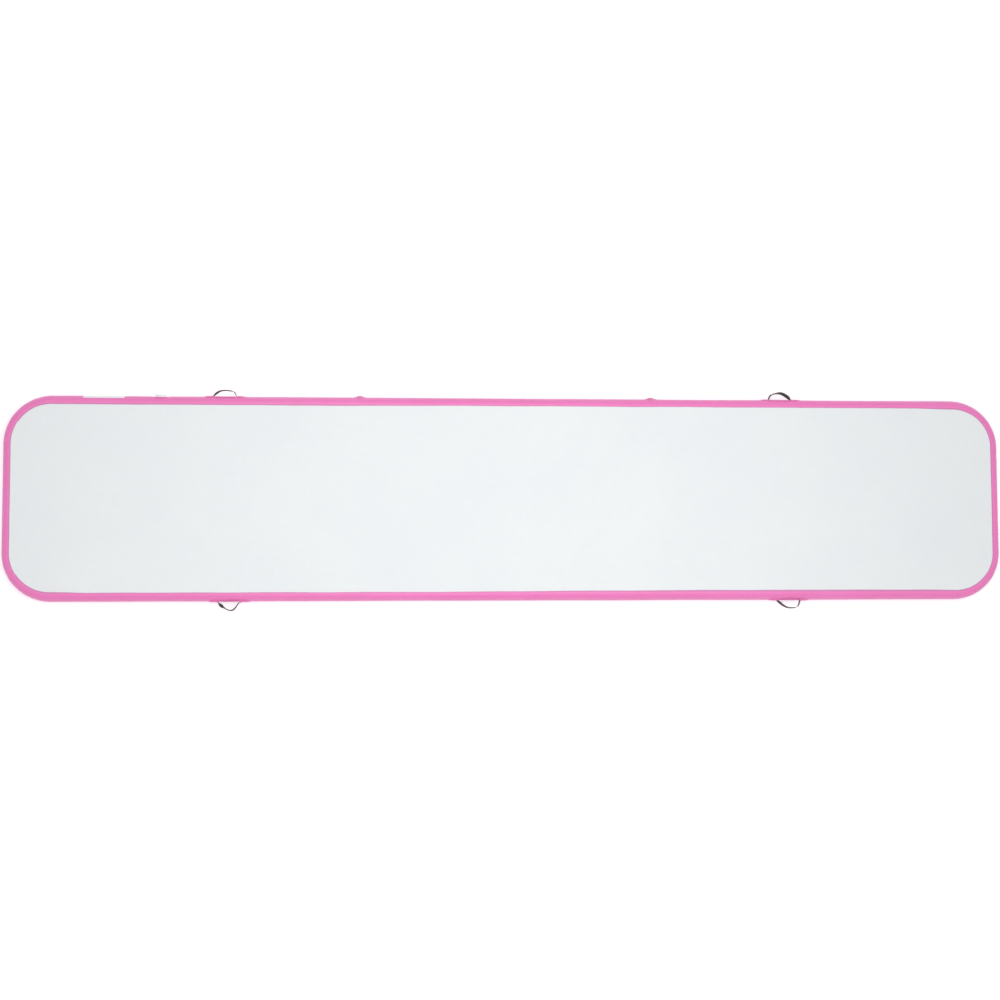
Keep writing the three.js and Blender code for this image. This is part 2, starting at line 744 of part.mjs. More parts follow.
mat.add(innerStrip());
const farWall = solidOf(wallStrip(SEAM_ANGLE, 180 - SEAM_ANGLE)).subtract(valveHole());
mat.add(piece("far_wall", geometryOf(farWall), MATERIALS.pinkCloth));
const plainWalls = {
  left_end_wall: [180 - SEAM_ANGLE, 180 + SEAM_ANGLE],
  near_wall: [180 + SEAM_ANGLE, 360 - SEAM_ANGLE],
  right_end_wall: [-SEAM_ANGLE, SEAM_ANGLE],
};
for (const [name, [from, to]] of Object.entries(plainWalls)) {
  mat.add(piece(name, wallStrip(from, to), MATERIALS.pinkCloth));
}
const seams = {
  far_right: SEAM_ANGLE,
  far_left: 180 - SEAM_ANGLE,
  near_left: 180 + SEAM_ANGLE,
  near_right: -SEAM_ANGLE,
};
for (const [name, angle] of Object.entries(seams)) mat.add(seamTape(`${name}_seam_tape`, angle));

mat.add(onWall(handle("far_left_handle"), FAR_SHIFT - HANDLE_X));
mat.add(onWall(handle("far_right_handle"), FAR_SHIFT + HANDLE_X));
mat.add(onWall(handle("near_left_handle"), NEAR_SHIFT - HANDLE_X, true));
mat.add(onWall(handle("near_right_handle"), NEAR_SHIFT + HANDLE_X, true));

mat.add(onWall(tieRing("left_tie"), FAR_SHIFT - TIE_RING_X));
mat.add(onWall(tieRing("right_tie"), FAR_SHIFT + TIE_RING_X));

mat.add(onWall(valve(), VALVE_X));

const LABEL = { width: 201, height: 84, corner: 4, film: 0.4 };
const labelOutline = roundedRectangle(LABEL.width, LABEL.height, LABEL.corner);
const labelPatch = wallPatch(labelOutline, LABEL.width, BOND, BOND + LABEL.film);
mat.add(onWall(piece("label", geometryOf(labelPatch), MATERIALS.label), LABEL_X));

export default mat;
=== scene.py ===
"""The looks of an inflatable air track mat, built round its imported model.

Everything is in metres in the row's frame. The mat lies on the floor at z = 0 with its middle over the origin
and X along it. +Y points at the far side wall, which holds the valve, the tie rings and the label.
"""

import json
import math

import bmesh
import bpy
import numpy as np
from mathutils import Matrix, Vector, noise


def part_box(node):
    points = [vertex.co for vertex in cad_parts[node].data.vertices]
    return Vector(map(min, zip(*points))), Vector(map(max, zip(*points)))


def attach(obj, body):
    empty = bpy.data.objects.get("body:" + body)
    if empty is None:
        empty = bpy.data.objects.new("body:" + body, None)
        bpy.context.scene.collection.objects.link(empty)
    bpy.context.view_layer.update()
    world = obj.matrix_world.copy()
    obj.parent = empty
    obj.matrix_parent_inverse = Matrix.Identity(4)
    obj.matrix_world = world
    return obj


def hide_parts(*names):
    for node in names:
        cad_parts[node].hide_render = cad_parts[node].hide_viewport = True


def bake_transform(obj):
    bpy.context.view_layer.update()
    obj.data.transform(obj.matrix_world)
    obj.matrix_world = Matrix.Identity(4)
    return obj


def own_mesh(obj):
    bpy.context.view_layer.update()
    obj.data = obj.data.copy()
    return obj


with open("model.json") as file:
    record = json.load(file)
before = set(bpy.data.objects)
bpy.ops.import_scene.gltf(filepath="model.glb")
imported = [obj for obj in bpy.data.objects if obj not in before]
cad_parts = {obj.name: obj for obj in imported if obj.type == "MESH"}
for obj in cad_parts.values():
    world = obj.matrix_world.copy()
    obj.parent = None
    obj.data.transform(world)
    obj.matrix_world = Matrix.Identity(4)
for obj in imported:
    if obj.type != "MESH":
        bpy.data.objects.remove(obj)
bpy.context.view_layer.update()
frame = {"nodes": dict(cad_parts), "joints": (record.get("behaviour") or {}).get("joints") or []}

# ---- the mat's shape ----------------------------------------------------------------------------------

HALF_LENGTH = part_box("right_end_wall")[1][0]
HALF_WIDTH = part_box("far_wall")[1][1]
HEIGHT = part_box("far_wall")[1][2]
MID = HEIGHT / 2
CORNER = 0.24  # radius of the wall's outermost line, seen from above
BULGE = 0.038  # how far the wall swells past the flat faces' edge
LIP = 0.009  # how far the wall cloth laps onto each flat face
SWELL = 0.0011  # the slow unevenness of the blown-up wall
PUCKER = 0.0009  # the depth of the puckers round the corners
PUCKER_PITCH = 0.021
CLOTH = 0.0009
SEAM_ANGLE = 33  # degrees round each corner to the seam between two wall strips
SEAM_GAP = 0.0006
TAPE_WIDTH = 0.030
LINER_LAP = 0.016  # how far the liner laps onto each panel's inner face
GLUE = 0.0003
PATCH = 0.0015  # the height of a bonded patch's face above the wall
MM = 0.001

STRAIGHT_X = HALF_LENGTH - CORNER
STRAIGHT_Y = HALF_WIDTH - CORNER
QUARTER = CORNER * math.pi / 2
FAR_START = STRAIGHT_Y + QUARTER
LEFT_START = FAR_START + 2 * STRAIGHT_X + QUARTER
NEAR_START = LEFT_START + 2 * STRAIGHT_Y + QUARTER
PERIMETER = NEAR_START + 2 * STRAIGHT_X + QUARTER + STRAIGHT_Y

# The wall's section: half an ellipse, measured along its arc from the middle of the wall.
_turns = np.linspace(-math.pi / 2, math.pi / 2, 181)
_steps = np.hypot(np.diff(BULGE * np.cos(_turns)), np.diff(MID * np.sin(_turns)))
_arc = np.concatenate(([0.0], np.cumsum(_steps)))
WALL_ARC = _arc[-1] / 2
_arc -= WALL_ARC


def middle(node):
    """The middle of a CAD node's box."""
    low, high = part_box(node)
    return Vector([(a + b) / 2 for a, b in zip(low, high)])


def smooth(t):
    """0 up to t = 0, 1 from t = 1, and an easy curve between."""
    t = min(max(t, 0.0), 1.0)
    return t * t * (3 - 2 * t)


def wall_drop(rise):
    """How far inward of its outermost line the wall is at a height above its middle."""
    return BULGE * (1 - math.sqrt(max(1 - (rise / MID) ** 2, 0.0)))


def outline(s):
    """The place, outward direction and corner share of the wall's outermost line.

    s runs anticlockwise from the middle of the right end. The corner share is 0 on a straight and 1 deep in a
    corner."""
    s %= PERIMETER
    legs = (STRAIGHT_Y, 2 * STRAIGHT_X, 2 * STRAIGHT_Y, 2 * STRAIGHT_X, STRAIGHT_Y)
    for i, straight in enumerate(legs):
        facing = i * math.pi / 2
        out = Vector((round(math.cos(facing)), round(math.sin(facing))))
        ahead = Vector((-out.y, out.x))
        if s <= straight or i == 4:
            start = -STRAIGHT_Y if i == 4 else (0 if i == 0 else -straight / 2)
            reach = HALF_LENGTH if i % 2 == 0 else HALF_WIDTH
            return out * reach + ahead * (start + s), out, 0.0
        s -= straight
        if s <= QUARTER:
            turn = facing + s / CORNER
            centre = Vector(((1, 1), (-1, 1), (-1, -1), (1, -1))[i])
            centre = Vector((centre.x * STRAIGHT_X, centre.y * STRAIGHT_Y))
            out = Vector((math.cos(turn), math.sin(turn)))
            return centre + out * CORNER, out, smooth(min(s, QUARTER - s) / 0.06)
        s -= QUARTER


def wall_s(x, side):
    """Where a place on the far (side 1) or near (side -1) straight wall is along the outermost line."""
    return FAR_START + STRAIGHT_X - x if side > 0 else NEAR_START + STRAIGHT_X + x


VALVE = middle("valve_body")
LAND = -0.0092  # the flat land round the valve, out from the wall's outermost line
DISH = 0.034  # the land's radius
RIM = 0.050  # where the dip to the land begins
VALVE_HOLE = 0.026


def dented(x, rise, out, lift):
    """How far out the far wall stands, where it dips to the flat land round the valve."""
    share = smooth((math.hypot(x - VALVE.x, rise) - DISH) / (RIM - DISH))
    return (LAND + lift) * (1 - share) + out * share


def relief(s, h, place, corner_share):
    """How far the blown-up cloth stands off its ideal section: slow swells, and puckers round the corners."""
    s %= PERIMETER
    free = 1 - smooth((abs(h) - WALL_ARC + 0.016) / 0.013)  # 0 where the cloth is glued down
    swell = SWELL * noise.noise((place.x * 2.1, place.y * 2.1, h * 11 + 1.7))
    swell += 0.0004 * noise.noise((place.x * 9, place.y * 9, h * 20 + 5.1))
    wander = 2.2 * noise.noise((s * 14, 0.4, 8.2))
    ripple = math.sin(2 * math.pi * s / PUCKER_PITCH + wander)
    depth = PUCKER * corner_share * smooth((abs(h) - 0.018) / 0.035)
    depth *= 0.65 + 0.5 * noise.noise((s * 21, math.copysign(3.0, h), 2.3))
    return free * (swell + depth * ripple)


def skin(s, h, lift=0.0):
    """A point on the blown-up wall: s along it, h up its arc from the middle, lift above its outer face."""
    place, out_way, corner_share = outline(s)
    lift += relief(s, h, place, corner_share)
    if abs(h) <= WALL_ARC:
        turn = float(np.interp(h, _arc, _turns))
        out = BULGE * (math.cos(turn) - 1)
        rise = MID * math.sin(turn)
        across = Vector((math.cos(turn) / BULGE, math.sin(turn) / MID)).normalized()
    else:
        out = -BULGE - (abs(h) - WALL_ARC)
        rise = math.copysign(MID, h)
        across = Vector((0, math.copysign(1, h)))
    out += across.x * lift
    rise += across.y * lift
    if out_way.y > 0.999 and abs(place.x - VALVE.x) < RIM:
        out = dented(place.x, rise, out, lift)
    spot = place + out_way * out
    return Vector((spot.x, spot.y, MID + rise))


# ---- meshes -------------------------------------------------------------------------------------------


def closed_piece(name, verts, faces, material, uvs=None, sharp=42):
    """A piece from vertices and faces that close on themselves."""
    mesh = bpy.data.meshes.new(name)
    mesh.from_pydata([tuple(v) for v in verts], [], faces)
    if uvs is not None:
        layer = mesh.uv_layers.new(name="metres")
        corners = np.empty(len(mesh.loops), np.int32)
        mesh.loops.foreach_get("vertex_index", corners)
        layer.data.foreach_set("uv", np.asarray(uvs, np.float32)[corners].ravel())
    bm = bmesh.new()
    bm.from_mesh(mesh)
    bmesh.ops.remove_doubles(bm, verts=bm.verts, dist=1e-6)
    bmesh.ops.recalc_face_normals(bm, faces=bm.faces)
    bm.to_mesh(mesh)
    bm.free()
    mesh.polygons.foreach_set("use_smooth", [True] * len(mesh.polygons))
    mesh.set_sharp_from_angle(angle=math.radians(sharp))
    mesh.materials.append(material)
    made = bpy.data.objects.new(name, mesh)
    bpy.context.scene.collection.objects.link(made)
    return made


def grid_faces(rows, columns, wrap_rows=False, wrap_columns=False):
    """Quads over a grid of vertices stored row by row."""
    faces = []
    for r in range(rows if wrap_rows else rows - 1):
        for c in range(columns if wrap_columns else columns - 1):
            right = (c + 1) % columns
            below = (r + 1) % rows
            corners = ((r, c), (r, right), (below, right), (below, c))
            faces.append(tuple(i * columns + j for i, j in corners))
    return faces


def tube_faces(rings, sides):
    """The faces of a tube through rings of vertices, with its two ends capped."""
    faces = grid_faces(rings, sides, wrap_columns=True)
    faces.append(tuple(range(sides - 1, -1, -1)))
    faces.append(tuple((rings - 1) * sides + c for c in range(sides)))
    return faces


def shell(name, us, vs, point, material, hole=None):
    """A closed double skin over a grid. Its quads with a middle that hole() holds are left out.

    point(u, v) gives an outer place, an inner place and the UV place in metres."""
    grid = [point(u, v) for u in us for v in vs]
    outer, inner, uvs = (np.array([places[k] for places in grid], float) for k in range(3))
    count = len(grid)
    kept = []
    for face in grid_faces(len(us), len(vs)):
        if hole is None or not hole(outer[list(face)].mean(axis=0)):
            kept.append(face)
    edges = dict.fromkeys(edge for face in kept for edge in zip(face, face[1:] + face[:1]))
    faces = list(kept)
    faces += [tuple(count + i for i in reversed(face)) for face in kept]
    faces += [(b, a, count + a, count + b) for a, b in edges if (b, a) not in edges]
    used = sorted({i for face in faces for i in face})
    place = {old: new for new, old in enumerate(used)}
    faces = [tuple(place[i] for i in face) for face in faces]
    verts = np.concatenate((outer, inner))[used]
    both = np.concatenate((uvs, uvs))[used]
    return closed_piece(name, verts, faces, material, both)


def lines(size, step, bevel):
    """Grid lines from -1 to 1 across a size, with one thin row at each border."""
    count = max(2, round(size / step))
    inside = 1 - 2 * bevel / size
    return [-1.0, *np.linspace(-inside, inside, count + 1), 1.0]


def rounded(a, b, width, height, corner):
    """The square from -1 to 1 laid over a rectangle with round corners."""
    x, y = a * width / 2, b * height / 2
    p = (abs(x) - width / 2 + corner) / corner
    q = (abs(y) - height / 2 + corner) / corner
    if p > 0 and q > 0:
        x = math.copysign(width / 2 - corner + corner * p * math.sqrt(1 - q * q / 2), x)
        y = math.copysign(height / 2 - corner + corner * q * math.sqrt(1 - p * p / 2), y)
    return x, y


def pad(name, where, size, corner, low, high, material, step=0.004, bevel=0.0008, rise=0.0):
    """A bonded patch that follows the wall, its middle at a rise up the wall's arc.

    where(x) is its place along the wall. high is its face's lift above the wall, or a function lift(x, y)."""
    width, height = size

    def point(a, b):
        x, y = rounded(a, b, width, height, corner)
        top = high(x, y) if callable(high) else high
        if abs(a) == 1 or abs(b) == 1:
            top = low + 0.0002
        return skin(where(x), y + rise, top), skin(where(x), y + rise, low), (x, y)

    return shell(name, lines(width, step, bevel), lines(height, step, bevel), point, material)


def ribbon(name, points, across, width, thickness, material, edge=0.4):
    """Flat webbing along points, with its width along the matching directions in across.

    A lower edge makes its section squarer."""
    points = [Vector(p) for p in points]
    section = []
    for turn in np.linspace(0, 2 * math.pi, 24, endpoint=False):
        x, y = math.cos(turn), math.sin(turn)
        wide = math.copysign(abs(x) ** 0.25, x) * width / 2
        thick = math.copysign(abs(y) ** edge, y) * thickness / 2
        section.append((wide, thick))
    verts, uvs = [], []
    travelled = 0.0
    for i, point in enumerate(points):
        ahead = (points[min(i + 1, len(points) - 1)] - points[max(i - 1, 0)]).normalized()
        side = (across[i] - ahead * across[i].dot(ahead)).normalized()
        face = ahead.cross(side)
        if i:
            travelled += (point - points[i - 1]).length
        for wide, thick in section:
            verts.append(point + side * wide + face * thick)
            uvs.append((travelled, wide))
    return closed_piece(name, verts, tube_faces(len(points), len(section)), material, uvs, sharp=60)


def turned(name, profile, material, segments=96, flutes=0, flute_depth=0.0, fluted=()):
    """A body turned about the valve's axis from (radius, out) points, with flutes on the rows in fluted."""
    verts, uvs = [], []
    for k in range(segments):
        turn = 2 * math.pi * k / segments
        for row, (radius, out) in enumerate(profile):
            if row in fluted:
                radius -= flute_depth * (0.5 - 0.5 * math.cos(flutes * turn)) ** 1.6
            x = VALVE.x + radius * math.cos(turn)
            z = VALVE.z + radius * math.sin(turn)
            verts.append((x, HALF_WIDTH + out, z))
            uvs.append((turn * 0.02, out + radius))
    faces = grid_faces(segments, len(profile), wrap_rows=True, wrap_columns=True)
    return closed_piece(name, verts, faces, material, uvs, sharp=50)


def join(name, first, *others):
    """One piece from several."""
    bm = bmesh.new()
    for part in (first, *others):
        bm.from_mesh(part.data)
    bm.to_mesh(first.data)
    bm.free()
    for part in others:
        bpy.data.objects.remove(part)
    first.name = name
    return first


def curve_through(points, count):
    """Points evenly along a smooth curve through a list of points of any dimension."""
    p = np.asarray(points, float)
    p = np.vstack((2 * p[0] - p[1], p, 2 * p[-1] - p[-2]))
    found = []
    for i in range(1, len(p) - 2):
        for t in np.linspace(0, 1, 24, endpoint=False):
            a, b, c, d = p[i - 1 : i + 3]
            bend = 2 * b + (c - a) * t + (2 * a - 5 * b + 4 * c - d) * t**2 + (3 * b - a - 3 * c + d) * t**3
            found.append(bend / 2)
    found.append(p[-2])
    found = np.array(found)
    far = np.concatenate(([0], np.cumsum(np.linalg.norm(np.diff(found[:, :3], axis=0), axis=1))))
    even = np.linspace(0, far[-1], count)
    return np.column_stack([np.interp(even, far, found[:, k]) for k in range(found.shape[1])])


# ---- materials ----------------------------------------------------------------------------------------


class Recipe:
    """A node material in the making. Each method adds a node and returns what it puts out."""

    def __init__(self, name, roughness, metallic=0.0, coords="UV", **sockets):
        self.material = bpy.data.materials.new(name)
        self.material.use_nodes = True
        self.tree = self.material.node_tree
        self.shader = self.tree.nodes["Principled BSDF"]
        self.shader.inputs["Roughness"].default_value = roughness
        self.shader.inputs["Metallic"].default_value = metallic
        for socket, value in sockets.items():
            self.shader.inputs[socket.replace("_", " ")].default_value = value
        place = self.tree.nodes.new("ShaderNodeTexCoord")
        self.place = place.outputs[coords]
        split = self.node("ShaderNodeSeparateXYZ", {"Vector": self.place})
        self.x, self.y, self.z = split.outputs

    def node(self, kind, inputs, **settings):
        made = self.tree.nodes.new(kind)
        for key, value in settings.items():
            setattr(made, key, value)
        for socket, value in inputs.items():
            if isinstance(value, bpy.types.NodeSocket):
                self.tree.links.new(value, made.inputs[socket])
            else:
                made.inputs[socket].default_value = value
        return made

    def math(self, operation, a, b=0.0):
        return self.node("ShaderNodeMath", {0: a, 1: b}, operation=operation).outputs[0]

    def wave(self, along, pitch, shift=0.0):
        """A sine of the given pitch in metres along a coordinate."""
        turn = self.math("MULTIPLY", along, 2 * math.pi / pitch)
        return self.math("SINE", self.math("ADD", turn, shift))

    def noise(self, scale, detail=3.0, stretch=(1, 1, 1), roughness=0.5):
        spread = self.node("ShaderNodeMapping", {"Vector": self.place, "Scale": stretch}).outputs[0]
        inputs = {"Vector": spread, "Scale": scale, "Detail": detail, "Roughness": roughness}
        return self.node("ShaderNodeTexNoise", inputs).outputs[0]

    def ramp(self, value, low, high, a, b):
        """a to b as the value goes from low to high."""
        inputs = {"Value": value, "From Min": low, "From Max": high, "To Min": a, "To Max": b}
        return self.node("ShaderNodeMapRange", inputs).outputs[0]

    def blend(self, share, a, b):
        """A colour between two colours."""
        made = self.tree.nodes.new("ShaderNodeMix")
        made.data_type = "RGBA"
        for socket, value in ((made.inputs[0], share), (made.inputs[6], a), (made.inputs[7], b)):
            if isinstance(value, bpy.types.NodeSocket):
                self.tree.links.new(value, socket)
            else:
                socket.default_value = (*value, 1.0) if socket != made.inputs[0] else value
        return made.outputs[2]

    def finish(self, color=None, roughness=None, height=None, depth=0.0002):
        if color is not None:
            self.tree.links.new(color, self.shader.inputs["Base Color"])
        if roughness is not None:
            self.tree.links.new(roughness, self.shader.inputs["Roughness"])
        if height is not None:
            bump = self.node("ShaderNodeBump", {"Height": height, "Distance": depth, "Strength": 1.0})
            self.tree.links.new(bump.outputs[0], self.shader.inputs["Normal"])
        return self.material


def coated_cloth(name, tone, shade, roughness, pitch, depth, soil=0.0, coords="UV", glue_line_and_shade=None):
    """PVC-coated cloth: the weave shows through the coating, which is a little uneven in colour and gloss.
    The weave's dips carry painted shade.
    """
    r = Recipe(name, roughness, coords=coords, Specular_IOR_Level=0.45)
    weave = r.math("MULTIPLY", r.wave(r.x, pitch), r.wave(r.y, pitch))
    fine = r.noise(900, 2)
    height = r.math("ADD", weave, r.math("MULTIPLY", fine, 0.5))
    drift = r.noise(2.3, 4, roughness=0.6)
    blotch = r.noise(38, 3)
    mixed = r.math("ADD", r.math("MULTIPLY", drift, 0.7), r.math("MULTIPLY", blotch, 0.3))
    color = r.blend(r.ramp(mixed, 0.35, 0.65, 0, 1), shade, tone)
    # Painted shade: the colour darkens a little where the weave lies low.
    dips = r.ramp(weave, -1, 1, 0.10, 0)
    color = r.blend(dips, color, tuple(0.72 * c for c in shade))
    if soil:
        scuffs = r.noise(11, 6, stretch=(0.35, 2.4, 1), roughness=0.7)
        color = r.blend(r.ramp(scuffs, 0.62, 0.8, 0, soil), color, (0.42, 0.43, 0.45))
    if glue_line_and_shade:
        # The lip's edge on the flat faces is painted darker and greyer: partly the glue line, partly painted
        # shade along the edge.
        reach = r.math("ADD", r.math("ABSOLUTE", r.y), r.math("MULTIPLY", r.noise(60, 3), 0.002))
        edge = WALL_ARC + LIP
        color = r.blend(r.ramp(reach, edge - 0.0070, edge - 0.0025, 0, 1), color, glue_line_and_shade)
    gloss = r.ramp(r.noise(26, 4), 0.3, 0.7, roughness - 0.06, roughness + 0.08)
    return r.finish(color, gloss, height, depth)


def webbing_material(name, tone, shade):
    """Woven polypropylene tape: herringbone columns along it, with a sheen."""
    r = Recipe(name, 0.62, Specular_IOR_Level=0.3, Sheen_Weight=0.12, Sheen_Roughness=0.4)
    column = 0.0031
    turn = r.math("DIVIDE", r.y, column)
    inside = r.math("FRACT", r.math("ADD", turn, 100.5))
    fold = r.math("ABSOLUTE", r.math("SUBTRACT", inside, 0.5))
    slant = r.math("ADD", r.x, r.math("MULTIPLY", fold, 1.3 * column))
    rib = r.math("ABSOLUTE", r.wave(slant, 0.0028))
    groove = r.ramp(fold, 0.0, 0.06, 0.3, 1)
    height = r.math("MULTIPLY", rib, groove)
    fuzz = r.noise(2600, 2)
    height = r.math("ADD", height, r.math("MULTIPLY", fuzz, 0.3))
    # Painted shade: the tape is darker where its weave lies low and in the grooves between its columns, and
    # lighter on its ribs.
    color = r.blend(r.ramp(height, 0.1, 1.0, 0, 1), shade, tone)
    worn = r.noise(90, 4)
    color = r.blend(r.ramp(worn, 0.55, 0.8, 0, 0.3), color, tuple(2.1 * c for c in tone))
    return r.finish(color, r.ramp(rib, 0, 1, 0.8, 0.55), height, 0.00035)


def plastic(name, tone, shade, roughness):
    """Moulded plastic: a fine spark-eroded grain, faint flow marks and handling marks."""
    r = Recipe(name, roughness, coords="Object", Subsurface_Weight=0.06, Subsurface_Scale=0.004)
    grain = r.noise(1700, 3)
    flow = r.noise(55, 4, stretch=(1, 0.3, 1))
    color = r.blend(r.ramp(flow, 0.35, 0.7, 0, 1), shade, tone)
    marks = r.noise(240, 5, roughness=0.7)
    gloss = r.ramp(marks, 0.35, 0.75, roughness - 0.05, roughness + 0.15)
    return r.finish(color, gloss, grain, 0.00005)


def metal(name, tone, shade, roughness):
    """Drawn wire: fine scratches along it, tarnish in patches."""
    r = Recipe(name, roughness, metallic=1.0, coords="Object")
    scratch = r.noise(900, 3, stretch=(0.15, 1, 1))
    tarnish = r.noise(210, 4)
    color = r.blend(r.ramp(tarnish, 0.4, 0.68, 0, 1), tone, shade)
    gloss = r.ramp(scratch, 0.3, 0.7, roughness - 0.08, roughness + 0.14)
    return r.finish(color, gloss, scratch, 0.00004)


def rubber_material():
    r = Recipe("rubber", 0.75, coords="Object")
    bloom = r.noise(160, 4)
    color = r.blend(r.ramp(bloom, 0.4, 0.7, 0, 1), (0.028, 0.028, 0.03), (0.07, 0.07, 0.072))
    return r.finish(color, r.ramp(bloom, 0.3, 0.7, 0.65, 0.85), r.noise(2400, 2), 0.00005)


def yarn_material():
    r = Recipe("pile_yarn", 0.85, coords="Object", Sheen_Weight=0.3)
    twist = r.wave(r.math("ADD", r.x, r.z), 0.0016)
    # Painted shade: the yarn is darker in the grooves of its twist and lighter on its ridges.
    color = r.blend(r.ramp(twist, -1, 1, 0, 1), (0.66, 0.64, 0.58), (0.86, 0.84, 0.79))
    return r.finish(color, None, twist, 0.0003)


def label_material():
    """A blank satin film with a printed hairline frame a few millimetres inside its edge."""
    margin, half_line = 0.005, 0.0004
    r = Recipe("label_film", 0.38, Coat_Weight=0.2)
    from_x = r.math("SUBTRACT", LABEL_SIZE[0] / 2 - margin, r.math("ABSOLUTE", r.x))
    from_y = r.math("SUBTRACT", LABEL_SIZE[1] / 2 - margin, r.math("ABSOLUTE", r.y))
    nearest = r.math("MINIMUM", from_x, from_y)
    compared = {0: nearest, 1: 0.0, 2: half_line}
    frame_line = r.node("ShaderNodeMath", compared, operation="COMPARE").outputs[0]
    print_drift = r.noise(30, 3)
    film = r.blend(r.ramp(print_drift, 0.3, 0.7, 0, 1), (0.83, 0.81, 0.84), (0.87, 0.85, 0.87))
    color = r.blend(frame_line, film, (0.55, 0.54, 0.57))
    return r.finish(color, r.ramp(print_drift, 0.3, 0.7, 0.32, 0.46), r.noise(700, 2), 0.00003)


LABEL_SIZE = (0.201, 0.084)
COARSE, FINE = 0.0042, 0.0016  # the pitch of the weave under the coating
WHITE = coated_cloth("top_cloth", (0.765, 0.785, 0.795), (0.735, 0.76, 0.775), roughness=0.42, pitch=COARSE,
                     depth=0.00022, soil=0.05, coords="Object")
GREY = coated_cloth("base_cloth", (0.44, 0.455, 0.48), (0.39, 0.405, 0.43), roughness=0.5, pitch=COARSE,
                    depth=0.00025, soil=0.12, coords="Object")
# The wall cloth's lip edge takes a greyer pink: the glue line, and painted shade along the edge.
PINK = coated_cloth("wall_cloth", (0.82, 0.203, 0.505), (0.785, 0.182, 0.465), roughness=0.36, pitch=FINE,
                    depth=0.00008, soil=0.03, glue_line_and_shade=(0.57, 0.185, 0.40))
DEEP_PINK = coated_cloth("patch_cloth", (0.81, 0.125, 0.44), (0.76, 0.105, 0.40), roughness=0.4, pitch=FINE,
                         depth=0.0001)
LINER = coated_cloth("liner_cloth", (0.46, 0.47, 0.50), (0.40, 0.41, 0.44), roughness=0.55, pitch=FINE,
                     depth=0.0001)
WEBBING = webbing_material("webbing", (0.026, 0.030, 0.029), (0.007, 0.008, 0.008))
THREAD = webbing_material("thread", (0.62, 0.30, 0.44), (0.45, 0.18, 0.30))
VALVE_PLASTIC = plastic("valve_plastic", (0.86, 0.87, 0.88), (0.79, 0.80, 0.82), 0.36)
RING_STEEL = metal("ring_steel", (0.30, 0.30, 0.31), (0.14, 0.14, 0.15), 0.34)
SPRING_STEEL = metal("spring_steel", (0.62, 0.62, 0.63), (0.42, 0.42, 0.43), 0.28)
RUBBER = rubber_material()
YARN = yarn_material()
LABEL_FILM = label_material()


def settle(made, body, slot, *nodes):
    """A finished piece rides on its body and stands for its CAD nodes. Its slot is not used."""
    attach(made, body)
    if nodes:
        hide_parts(*nodes)
    return made


# ---- the air chamber ----------------------------------------------------------------------------------


def panel(name, node, material, slot):
    """A flat cloth with its pile pulling it even, apart from the slightest quilting and swell."""
    low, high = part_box(node)
    corner = CORNER - BULGE - 0.001
    width, height = high[0] - low[0], high[1] - low[1]
    across, up = lines(width, 0.02, 0.01), lines(height, 0.02, 0.01)
    faces_up = high[2] > MID
    face, back = (high[2], low[2]) if faces_up else (low[2], high[2])

    def point(a, b):
        x, y = rounded(a, b, width, height, corner)
        inward = smooth((1 - max(abs(a) * width, abs(b) * height - height + width) / width) * 20)
        dip = abs(0.0005 * inward * noise.noise((x * 3.1, y * 3.1, face * 40)))
        return (x, y, face - dip if faces_up else face + dip), (x, y, back), (x, y)

    made = shell(name, across, up, point, material)
    return settle(made, "mat", slot, node)


def strip_stations(start, end):
    """Places along the wall for one strip, close together round the corners and at the valve."""
    valve_s = wall_s(VALVE.x, 1)
    found = []
    s = start
    while s < end:
        found.append(s)
        if abs(s - valve_s) < RIM + 0.015:
            s += 0.0025
        elif outline(s + 0.01)[2] > 0 or outline(s)[2] > 0:
            s += 0.0042
        else:
            s += 0.0125
    if end - found[-1] < 0.002:
        found.pop()
    return [*found, end]


def drift(s):
    """How far the top lip's glue-bonded edge runs wide of its line, by hand, along each of the long walls."""
    place, out, _ = outline(s)
    if abs(out.y) < 0.999:
        return 0.0
    if out.y > 0:
        return -0.0038 * smooth((place.x + 1.0) / 0.9) * smooth((STRAIGHT_X - place.x) / 0.2)
    edge = smooth((STRAIGHT_X - abs(place.x)) / 0.2)
    return edge * (-0.0032 + 0.0056 * smooth((place.x + 0.7) / 1.6))


def wall_strip(name, node, start, end, lip, hole=None):
    """One length of the coloured wall, blown round, with a lip glue-bonded onto each flat face."""
    stations = strip_stations(start + SEAM_GAP / 2, end - SEAM_GAP / 2)
    arc = [WALL_ARC * math.sin(math.pi / 2 * t) for t in np.linspace(-1, 1, 35)]
    edge = WALL_ARC + LIP
    levels = [-edge, -edge + LIP / 2, *arc, edge - LIP / 2, edge]

    def point(s, level):
        """The lips wander a little in width, and the UV place keeps to the even level."""
        h = level
        share = (abs(level) - WALL_ARC) / LIP
        if share > 0 and level > 0:
            hand = 0.0014 * noise.noise((s * 4.3, 0.2, 7.7)) + 0.0005 * noise.noise((s * 31, 0.2, 3.3))
            h = WALL_ARC + share * (lip + drift(s) + hand)
        elif share > 0:
            h = -WALL_ARC - share * (lip + 0.0016 * noise.noise((s * 4.3, 9.2, 7.7)))
        return skin(s, h), skin(s, h, -CLOTH), (s, level)

    made = shell(name, stations, levels, point, PINK, hole)
    return settle(made, "mat", "wall_cloth", node)


